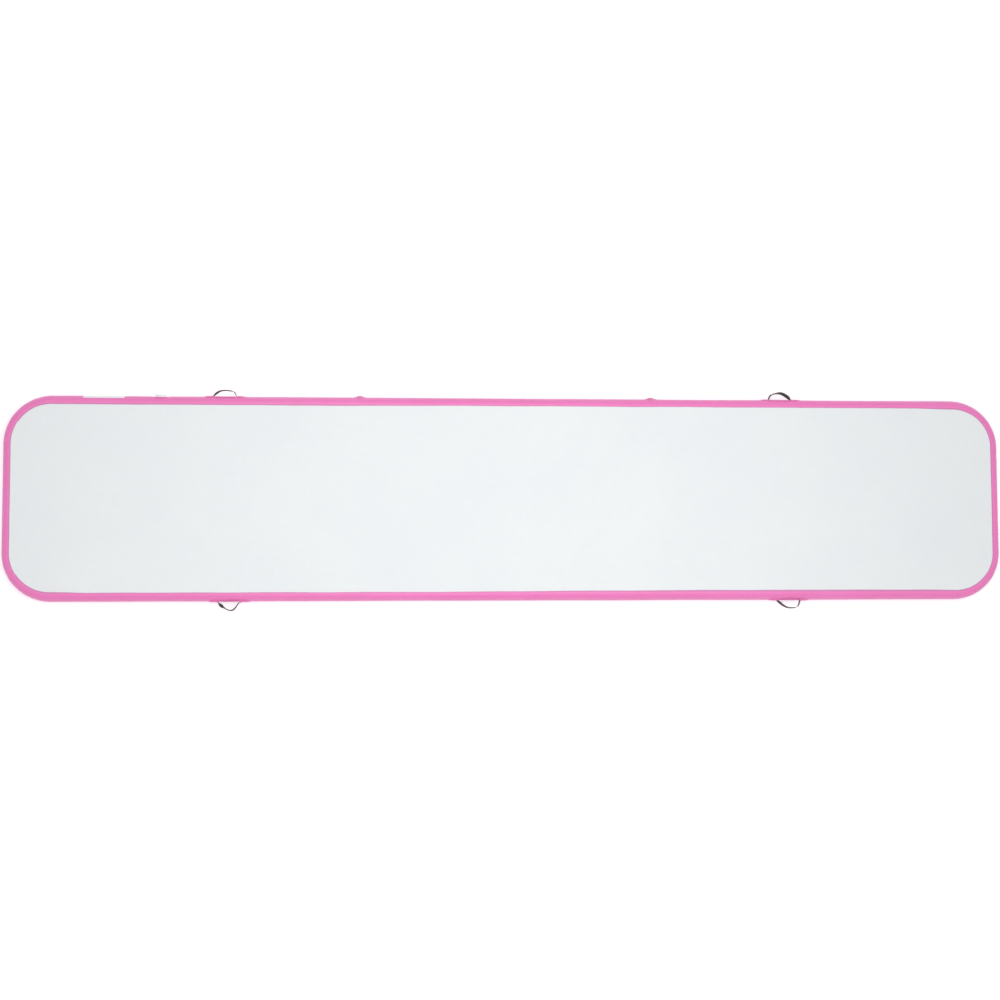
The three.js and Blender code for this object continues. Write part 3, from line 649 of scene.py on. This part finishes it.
def liner():
    """The structural strip inside the wall, glue-bonded to both panels' inner faces, with its one butt joint.
    """
    stations = strip_stations(SEAM_GAP / 2, PERIMETER - SEAM_GAP / 2)
    arc = np.linspace(-WALL_ARC, WALL_ARC, 21)
    lap = [WALL_ARC + LINER_LAP / 2, WALL_ARC + LINER_LAP]
    levels = [-lap[1], -lap[0], *arc, *lap]

    def point(s, h):
        under_panel = smooth((abs(h) - WALL_ARC + 0.014) / 0.014)
        depth = CLOTH + GLUE + 0.0013 * under_panel
        return skin(s, h, -depth), skin(s, h, -depth - CLOTH), (s, h)

    made = shell("liner", stations, levels, point, LINER, valve_hole)
    settle(made, "mat", "bottom_cloth", "inner_seam_strip")


def valve_hole(point):
    """Whether a point of the far wall is in the hole that the valve's neck passes through."""
    return math.hypot(point[0] - VALVE.x, point[2] - VALVE.z) < VALVE_HOLE and point[1] > 0


def corner_seam(i):
    """Where the seam in a corner is. The corners run anticlockwise from the far right one."""
    starts = (
        STRAIGHT_Y, FAR_START + 2 * STRAIGHT_X, LEFT_START + 2 * STRAIGHT_Y, NEAR_START + 2 * STRAIGHT_X,
    )
    turned_by = SEAM_ANGLE if i % 2 == 0 else 90 - SEAM_ANGLE
    return starts[i] + CORNER * math.radians(turned_by)


def air_chamber():
    panel("top_cloth", "top_panel", WHITE, "top_cloth")
    panel("base_cloth", "bottom_panel", GREY, "bottom_cloth")
    liner()
    seams = [corner_seam(i) for i in range(4)]
    wall_strip("far_wall_cloth", "far_wall", seams[0], seams[1], LIP, valve_hole)
    wall_strip("left_end_cloth", "left_end_wall", seams[1], seams[2], LIP - 0.002)
    wall_strip("near_wall_cloth", "near_wall", seams[2], seams[3], LIP)
    wall_strip("right_end_cloth", "right_end_wall", seams[3], seams[0] + PERIMETER, LIP - 0.001)
    names = ("far_right", "far_left", "near_left", "near_right")
    for name, seam in zip(names, seams):
        # A tape runs on over the top lip, and stops short of the floor.
        top, bottom = WALL_ARC + LIP - 0.003, WALL_ARC - 0.010
        size = (TAPE_WIDTH, top + bottom)
        tape = pad(f"{name}_tape", lambda x, s=seam: s + x, size, 0.004, 0.0001, 0.0007, PINK,
                   bevel=0.0012, rise=(top - bottom) / 2)
        settle(tape, "mat", "wall_cloth", f"{name}_seam_tape")


# ---- carry handles ------------------------------------------------------------------------------------

WEBBING_WIDTH = 0.025
WEBBING_THICK = 0.0018

# Each loop's route in millimetres: along the wall, out from it, above its middle, and the webbing's twist in
# degrees. The tails under the cover patches are the same on all four.
TAIL = [(84, 2.2, 0, 0), (74, 2.2, 0, 0), (66, 2.2, 0, 0), (60.5, 2.5, 0, 0)]
LOOPS = {
    "far_left": [
        (-57, 5, 0, -3), (-51, 11, 0, -8), (-41, 19, 1, -12), (-29, 26.5, 1, -9), (-14, 31, 1, -4),
        (3, 32, 0, -3), (21, 30.5, 0, -3), (36, 28, 0, 0), (45, 23.5, 0, 8), (50, 15, 0, 7), (54, 6, 0, 4),
    ],
    "far_right": [
        (-58, 5, 0, 0), (-56, 13, 0, 6), (-48, 25, 0, 12), (-32, 32, 0, 14), (-12, 35.5, 0, 26),
        (6, 35, 0, 42), (22, 29, 0, 52), (38, 18.5, 0, 54), (49, 9.5, 0, 46), (56, 5, 0, 18),
    ],
    "near_left": [
        (-57.5, 5, 0, 8), (-53, 9, 0, 18), (-45, 17, 0, 36), (-36, 24, 0, 38), (-26, 31, 0, 18),
        (-10, 40.5, 0, 12), (6, 44.5, 0, 12), (20, 40, 0, 11), (32, 27, 0, 9), (41, 13, 0, 6), (50, 6, 0, 3),
    ],
    "near_right": [
        (-57, 4, 0, 8), (-52, 6.5, 0, 15), (-43, 14, 0, 18), (-29, 25.5, 0, 15), (-8, 37, 0, 12),
        (14, 40.5, 0, 12), (35, 39, 0, 11), (49, 32, 0, 4), (55.5, 19, 0, 0), (58.5, 8.5, 0, 0),
        (59.3, 4.6, 0, 0),
    ],
}


def handle(name, loop):
    """A base patch, the webbing loop and a cover patch over each of its tails."""
    strap_node = f"{name}_handle_strap"
    centre = middle(strap_node)
    side = 1 if centre.y > 0 else -1

    def place(x):
        return wall_s(centre.x + x, side)

    low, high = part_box(f"{name}_handle_base_patch")
    base_size = (high[0] - low[0], high[2] - low[2])
    base = pad(f"{name}_handle_base", place, base_size, 0.03, GLUE, PATCH, DEEP_PINK)
    settle(base, "mat", "patch_cloth", f"{name}_handle_base_patch")

    for number in (1, 2):
        node = f"{name}_handle_tail_cover_{number}"
        low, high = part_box(node)
        shift = (low[0] + high[0]) / 2 - centre.x
        outward = math.copysign(1, shift)

        def lift(x, y, outward=outward):
            """The cover's face, which stands up over the webbing's tail."""
            over_tail = 1 - smooth((abs(y) - 0.0118) / 0.0042)
            over_tail *= 1 - smooth((x * outward - 0.010) / 0.006)
            return PATCH + 0.0007 + 0.0014 * over_tail

        size = (high[0] - low[0], high[2] - low[2])
        cover = pad(f"{name}_handle_cover_{number}", lambda x, d=shift: place(x + d), size, 0.008,
                    PATCH + 0.0001, lift, PINK, step=0.002)
        settle(cover, "mat", "patch_cloth", node)

    left_tail = [(-x, out, up, twist) for x, out, up, twist in TAIL]
    route = curve_through([*left_tail, *loop, *reversed(TAIL)], 150)
    points, across = [], []
    for i, (x, out, up, twist) in enumerate(route):
        ahead = route[min(i + 1, len(route) - 1)] - route[max(i - 1, 0)]
        ahead = Vector((ahead[0], ahead[1] * side, ahead[2])).normalized()
        points.append((centre.x + x * MM, side * (HALF_WIDTH + out * MM), centre.z + up * MM))
        across.append(Matrix.Rotation(math.radians(twist * side), 3, ahead) @ Vector((0, 0, 1)))
    strap = ribbon(f"{name}_strap", points, across, WEBBING_WIDTH, WEBBING_THICK, WEBBING)
    for vertex in strap.data.vertices:
        # Under their covers the tails lie round the wall.
        rise = vertex.co.z - centre.z
        tucked = smooth((abs(vertex.co.x - centre.x) - 0.050) / 0.012)
        vertex.co.y -= side * tucked * wall_drop(rise)
    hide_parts(strap_node)
    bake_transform(strap)


# ---- tie rings ----------------------------------------------------------------------------------------


def tie_ring(name):
    """A D-shaped ring of wire in a folded tab of coated cloth, sewn to a round patch."""
    centre = middle(f"{name}_tie_tab")
    low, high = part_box(f"{name}_tie_d_ring")
    wire = (high[1] - low[1]) / 3.46  # half the radius of the CAD wire, which has six sides
    bar_out = (low[1] + high[1]) / 2
    bow = (high[0] - low[0]) / 2 - wire
    corner = bow / 3
    straight = bow - corner

    line = [(x, 0) for x in np.linspace(-straight, straight, 12)]
    for turn in np.linspace(math.pi / 2, 0, 9)[1:]:
        line.append((straight + corner * math.cos(turn), -corner + corner * math.sin(turn)))
    for turn in np.linspace(0, -math.pi, 49)[1:]:
        line.append((bow * math.cos(turn), -corner + bow * math.sin(turn)))
    for turn in np.linspace(math.pi, math.pi / 2, 9)[1:-1]:
        line.append((-straight + corner * math.cos(turn), -corner + corner * math.sin(turn)))
    verts, sides = [], 16
    for i, (x, z) in enumerate(line):
        before, after = line[i - 1], line[(i + 1) % len(line)]
        ahead = Vector((after[0] - before[0], 0, after[1] - before[1])).normalized()
        flat = ahead.cross(Vector((0, 1, 0)))
        # The weld in the bar's middle leaves a slight collar.
        thick = wire * (1.0 + 0.10 * math.exp(-((x / 0.0012) ** 2)) * (abs(z) < 1e-6))
        for k in range(sides):
            turn = 2 * math.pi * k / sides
            offset = flat * math.cos(turn) * thick + Vector((0, math.sin(turn) * thick, 0))
            verts.append(Vector((centre.x + x, bar_out, centre.z + z)) + offset)
    faces = grid_faces(len(line), sides, wrap_rows=True, wrap_columns=True)
    ring = closed_piece(f"{name}_ring", verts, faces, RING_STEEL)
    settle(ring, f"{name}_tie_ring", "ring_steel", f"{name}_tie_d_ring")

    def place(x):
        return wall_s(centre.x + x, 1)

    low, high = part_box(f"{name}_tie_patch")
    size = high[0] - low[0]
    patch = pad(f"{name}_tie_base", place, (size, size), size / 2, GLUE, PATCH, DEEP_PINK)
    settle(patch, "mat", "patch_cloth", f"{name}_tie_patch")

    # The tab's route from above the bar, round it and on down, as out and up from the wall's middle line.
    tab_width, tab_thick = 0.019, 0.0013
    around = bar_out - HALF_WIDTH
    fold = wire + tab_thick
    route = [(PATCH + 0.0009, 0.0135), (PATCH + 0.0009, 0.009), (PATCH + 0.0012, 0.006)]
    for turn in np.linspace(130, -130, 14):
        angle = math.radians(turn)
        route.append((around + fold * math.cos(angle), fold * math.sin(angle)))
    route += [(PATCH + 0.0012, -0.006), (PATCH + 0.0009, -0.009), (PATCH + 0.0009, -0.0135)]
    smooth_route = curve_through([(0, out, up) for out, up in route], 90)
    points = []
    for _, out, up in smooth_route:
        sag = wall_drop(up) * smooth((abs(up) - 0.004) / 0.004)
        points.append((centre.x, HALF_WIDTH + out - sag, centre.z + up))
    across = [Vector((1, 0, 0))] * len(points)
    tab = ribbon(f"{name}_tab", points, across, tab_width, tab_thick, PINK)
    settle(tab, "mat", "patch_cloth", f"{name}_tie_tab")

    stitches = []
    for up in (0.0112, 0.0088, -0.0088, -0.0112):
        for x in np.linspace(-0.0068, 0.0068, 5):
            spot = skin(place(x), up, PATCH + 0.0016)
            stitches.append(stitch(spot, Vector((1, 0, 0)), Vector((0, 1, 0))))
    thread = join(f"{name}_tab_stitching", *stitches)
    settle(thread, "mat", "patch_cloth")


def stitch(spot, along, out):
    """One stitch of thread, half sunk in the cloth."""
    length, thick = 0.0024, 0.00042
    side = out.cross(along)
    rings, sides = 9, 8
    verts = []
    for i in range(rings):
        t = -1 + 2 * i / (rings - 1)
        radius = thick * math.sqrt(max(1 - t**4, 0.02))
        for k in range(sides):
            turn = 2 * math.pi * k / sides
            sag = out * (-thick * 0.7 * t * t)
            ring_point = out * math.cos(turn) * radius + side * math.sin(turn) * radius
            verts.append(spot + along * t * length / 2 + sag + ring_point)
    return closed_piece("stitch", verts, tube_faces(rings, sides), THREAD, [(v.x, v.z) for v in verts])


# ---- inflation valve ----------------------------------------------------------------------------------


def ring_profile(inner, outer, low, high, bevel=0.0003):
    """The (radius, out) section of a flat ring with its edges broken."""
    return [
        (inner + bevel, low), (outer - bevel, low), (outer, low + bevel), (outer, high - bevel),
        (outer - bevel, high), (inner + bevel, high), (inner, high - bevel), (inner, low + bevel),
    ]


def valve_patch():
    """The moulded patch: its rim follows the wall and its middle dips to the land under the flange."""
    radii = [0.0212, 0.024, 0.027, 0.030, 0.032, 0.034, 0.0355, 0.037, 0.0385, 0.040, 0.0415, 0.0424, 0.0430]
    section = [(radius, True) for radius in radii] + [(radius, False) for radius in reversed(radii)]
    segments = 120
    verts, uvs = [], []
    for i in range(segments):
        turn = 2 * math.pi * i / segments
        for radius, outer in section:
            x, rise = radius * math.cos(turn), radius * math.sin(turn)
            lift = GLUE
            if outer:
                bead = 0.0005 * math.exp(-(((radius - 0.0405) / 0.0007) ** 2))
                lift = PATCH + bead if radius < radii[-1] else GLUE + 0.0003
            out = dented(VALVE.x + x, rise, lift - wall_drop(rise), lift)
            verts.append((VALVE.x + x, HALF_WIDTH + out, VALVE.z + rise))
            uvs.append((x, rise))
    faces = grid_faces(segments, len(section), wrap_rows=True, wrap_columns=True)
    made = closed_piece("valve_patch_moulding", verts, faces, DEEP_PINK, uvs)
    return settle(made, "mat", "patch_cloth", "valve_patch")


def valve_housing():
    """The flange, the collar that the cap screws onto, the neck and the spider that guides the stem."""
    low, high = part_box("valve_body")
    end, top = low[1] - HALF_WIDTH, high[1] - HALF_WIDTH
    flange = (high[0] - low[0]) / 2
    face = top - 0.0059
    profile = [
        (0.0125, end), (0.0200, end), (0.0205, end + 0.0005), (0.0205, face - 0.0025),
        (flange - 0.0004, face - 0.0025), (flange, face - 0.0021), (flange, face - 0.0010),
        (flange - 0.0006, face - 0.0003), (flange - 0.0016, face), (flange - 0.0030, face),
        (flange - 0.0034, face - 0.0004), (flange - 0.0042, face - 0.0004), (flange - 0.0046, face),
        (0.0199, face), (0.0195, face + 0.0004), (0.0195, top - 0.0032),
        (0.0200, top - 0.0022), (0.0200, top - 0.0018), (0.0195, top - 0.0010), (0.0195, top - 0.0004),
        (0.0191, top), (0.0164, top), (0.0160, top - 0.0004), (0.0160, end + 0.0030), (0.0125, end + 0.0020),
    ]
    housing = turned("valve_housing", profile, VALVE_PLASTIC, 120)
    arms = []
    valve_axis = Matrix.Translation((VALVE.x, HALF_WIDTH, VALVE.z))
    for turn in (0, 120, 240):
        spin = Matrix.Rotation(math.radians(turn), 4, "Y")
        bm = bmesh.new()
        bmesh.ops.create_cube(bm, size=1.0)
        bmesh.ops.scale(bm, vec=(0.0125, 0.003, 0.0024), verts=bm.verts)
        bmesh.ops.translate(bm, vec=(0.0100, end + 0.0095, 0), verts=bm.verts)
        bmesh.ops.bevel(bm, geom=bm.edges, offset=0.0004, segments=2, affect="EDGES")
        bmesh.ops.transform(bm, matrix=valve_axis @ spin, verts=bm.verts)
        mesh = bpy.data.meshes.new("arm")
        bm.to_mesh(mesh)
        bm.free()
        arms.append(bpy.data.objects.new("arm", mesh))
    hub = turned("hub", ring_profile(0.0034, 0.0054, end + 0.008, end + 0.011), VALVE_PLASTIC, 48)
    made = join("valve_housing", housing, hub, *arms)
    return settle(made, "mat", "valve_plastic", "valve_body")


def valve_spring():
    """The coil spring under the push button, with its end turns closed."""
    low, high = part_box("valve_spring")
    press = next(joint for joint in frame["joints"] if joint["name"] == "poppet_press")
    travel = max(abs(limit) for limit in press["range_m"])
    wire = 0.0006
    radius = (high[0] - low[0]) / 2 - wire
    turns, closed, sides = 5.0, 0.8, 10
    steps = 180
    line = []
    for i in range(steps + 1):
        turn = turns * i / steps
        climb = min(max((turn - closed) / (turns - 2 * closed), 0.0), 1.0)
        y = low[1] + wire + (high[1] - low[1] - 2 * wire) * (0.3 * smooth(climb) + 0.7 * climb)
        angle = 2 * math.pi * turn
        line.append(Vector((VALVE.x + radius * math.cos(angle), y, VALVE.z + radius * math.sin(angle))))
    verts = []
    for i, point in enumerate(line):
        ahead = (line[min(i + 1, steps)] - line[max(i - 1, 0)]).normalized()
        out = Vector((point.x - VALVE.x, 0, point.z - VALVE.z)).normalized()
        side = ahead.cross(out).normalized()
        for k in range(sides):
            turn = 2 * math.pi * k / sides
            verts.append(point + (out * math.cos(turn) + side * math.sin(turn)) * wire)
    made = closed_piece("valve_spring_coil", verts, tube_faces(len(line), sides), SPRING_STEEL)
    settle(made, "mat", "spring_steel", "valve_spring")
    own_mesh(made)


def valve_cap():
    """The screw cap: twelve finger flutes, a sunk face with a raised ring, and the headed knob."""
    low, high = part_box("valve_cap")
    skirt, top = low[1] - HALF_WIDTH, high[1] - HALF_WIDTH - 0.004
    radius = (high[0] - low[0]) / 2
    profile = [
        (0.0208, skirt), (radius - 0.0008, skirt), (radius - 0.0002, skirt + 0.0005),
        (radius, skirt + 0.0012), (radius, top - 0.0016), (radius - 0.0004, top - 0.0006),
        (radius - 0.0014, top), (radius - 0.0030, top), (radius - 0.0038, top - 0.0006),
        (0.0130, top - 0.0008), (0.0124, top - 0.0002), (0.0112, top - 0.0002), (0.0106, top - 0.0008),
        (0.0092, top - 0.0008), (0.0088, top), (0.0040, top), (0.0040, top + 0.0022),
        (0.0052, top + 0.0025), (0.0056, top + 0.0029), (0.0056, top + 0.0034), (0.0048, top + 0.0039),
        (0.0, top + 0.0040), (0.0, top - 0.0025), (0.0204, top - 0.0025), (0.0208, top - 0.0029),
    ]
    side_rows = (2, 3, 4, 5)
    made = turned("screw_cap", profile, VALVE_PLASTIC, 144, flutes=12, flute_depth=0.0013, fluted=side_rows)
    return settle(made, "cap", "valve_plastic", "valve_cap")


def cap_tether():
    """The tether's ring lies under the cap, and its strap arches over to an eye round the cap's knob."""
    low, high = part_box("tether_ring")
    ring_low, ring_high = low[1] - HALF_WIDTH, high[1] - HALF_WIDTH
    ring = turned("ring", ring_profile(0.0203, 0.0260, ring_low, ring_high), VALVE_PLASTIC)
    ring_mid = HALF_WIDTH + (ring_low + ring_high) / 2
    tab_points = [(VALVE.x - x, ring_mid, VALVE.z) for x in (0.0235, 0.0285, 0.0325)]
    upright = Vector((0, 0, 1))
    tab = ribbon("tab", tab_points, [upright] * 3, 0.0072, ring_high - ring_low, VALVE_PLASTIC, edge=0.3)
    settle(join("tether_base", ring, tab), "mat", "valve_plastic", "tether_ring")

    low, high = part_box("valve_cap")
    eye_low = high[1] - HALF_WIDTH - 0.0037
    eye = turned("eye", ring_profile(0.0046, 0.0085, eye_low, eye_low + 0.0016), VALVE_PLASTIC)
    # The strap's route in millimetres, along the wall from the valve's middle and out from the wall.
    eye_mid = (eye_low + 0.0008) / MM
    route = [
        (-7, eye_mid), (-14, eye_mid + 1.4), (-21, eye_mid + 4.2), (-28, eye_mid + 3.4), (-31.5, eye_mid - 2),
        (-31, ring_high / MM + 0.2), (-30.5, ring_low / MM + 0.8),
    ]
    points = []
    for x, out in curve_through(route, 60):
        points.append((VALVE.x + x * MM, HALF_WIDTH + out * MM, VALVE.z))
    strap = ribbon("strap", points, [upright] * len(points), 0.007, 0.0015, VALVE_PLASTIC, edge=0.3)
    made = join("cap_tether", strap, eye)
    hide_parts("tether_strap")
    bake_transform(made)


def label():
    """A blank film patch on the far wall."""
    centre = middle("label")
    made = pad("blank_label", lambda x: wall_s(centre.x + x, 1), LABEL_SIZE, 0.004, GLUE, 0.0008, LABEL_FILM)
    settle(made, "mat", "label_film", "label")


# ---- the camera, the stage and the lights -------------------------------------------------------------


LENS = 58.77
CAMERA_PLACE = (-0.6751, -0.5449, 8.193)
CAMERA_TURN = (0.0664, -0.0757, -0.0033)
FLOOR_DEPTH = 0.0004  # how far the floor lies under the mat, so that the two never share a plane
HORIZON_LIGHT = 0.42
ZENITH_LIGHT = 0.86
SOFTBOXES = [
    ("softbox", (0.14, -0.1, 5.0), (2.6, 2.0), 100),
    ("sheen_light", (-1.1, -0.11, 6.2), (0.7, 0.7), 24),
]


def camera():
    """Above the mat and a little to the left of its middle, looking almost straight down."""
    data = bpy.data.cameras.new("camera")
    data.sensor_width = 36
    data.lens = LENS
    data.clip_end = 200
    made = bpy.data.objects.new("camera", data)
    made.location = CAMERA_PLACE
    made.rotation_euler = CAMERA_TURN
    bpy.context.scene.collection.objects.link(made)
    bpy.context.scene.camera = made


def floor():
    """A plain white studio floor, a little lit from within."""
    r = Recipe("floor", 0.9, coords="Object", Emission_Strength=0.42)
    r.shader.inputs["Emission Color"].default_value = (1, 1, 1, 1)
    tone = r.noise(0.8, 2)
    color = r.blend(r.ramp(tone, 0.3, 0.7, 0, 1), (0.70, 0.70, 0.70), (0.72, 0.72, 0.72))
    material = r.finish(color, None, r.noise(300, 2), 0.00005)
    half = 40
    mesh = bpy.data.meshes.new("floor")
    corners = [(-half, -half, 0), (half, -half, 0), (half, half, 0), (-half, half, 0)]
    mesh.from_pydata(corners, [], [(0, 1, 2, 3)])
    mesh.materials.append(material)
    made = bpy.data.objects.new("floor", mesh)
    made.location.z = -FLOOR_DEPTH
    bpy.context.scene.collection.objects.link(made)


def lights():
    """A dome that is brightest overhead, a large softbox over the mat's middle and a small sheen light."""
    world = bpy.data.worlds.new("studio")
    bpy.context.scene.world = world
    world.use_nodes = True
    tree = world.node_tree
    place = tree.nodes.new("ShaderNodeTexCoord")
    split = tree.nodes.new("ShaderNodeSeparateXYZ")
    ramp = tree.nodes.new("ShaderNodeMapRange")
    ramp.inputs["From Min"].default_value = 0.0
    ramp.inputs["From Max"].default_value = 0.9
    ramp.inputs["To Min"].default_value = HORIZON_LIGHT
    ramp.inputs["To Max"].default_value = ZENITH_LIGHT
    tree.links.new(place.outputs["Generated"], split.inputs[0])
    tree.links.new(split.outputs["Z"], ramp.inputs["Value"])
    tree.links.new(ramp.outputs[0], tree.nodes["Background"].inputs["Strength"])
    tree.nodes["Background"].inputs["Color"].default_value = (1, 1, 1, 1)
    for name, place, size, power in SOFTBOXES:
        data = bpy.data.lights.new(name, "AREA")
        data.shape = "RECTANGLE"
        data.size, data.size_y = size
        data.energy = power
        made = bpy.data.objects.new(name, data)
        made.location = place
        made.visible_camera = False
        bpy.context.scene.collection.objects.link(made)


# ---- everything ---------------------------------------------------------------------------------------

bpy.context.scene.view_settings.view_transform = "Standard"
camera()
floor()
lights()
air_chamber()
for handle_name, loop_route in LOOPS.items():
    handle(handle_name, loop_route)
for ring_name in ("left", "right"):
    tie_ring(ring_name)
label()
valve_patch()
valve_housing()
valve_spring()
valve_cap()
cap_tether()

# The CAD pieces that are kept as they are, in this script's materials.
CARRIED_OVER = {
    YARN: [f"drop_stitch_yarn_{i}" for i in range(1, 6)],
    RUBBER: ["outer_gasket", "inner_gasket", "poppet_seal", "cap_seal"],
    VALVE_PLASTIC: ["valve_backing_nut", "poppet_stem"],
}
for cad_material, cad_nodes in CARRIED_OVER.items():
    for cad_node in cad_nodes:
        for slot in frame["nodes"][cad_node].material_slots:
            slot.material = cad_material
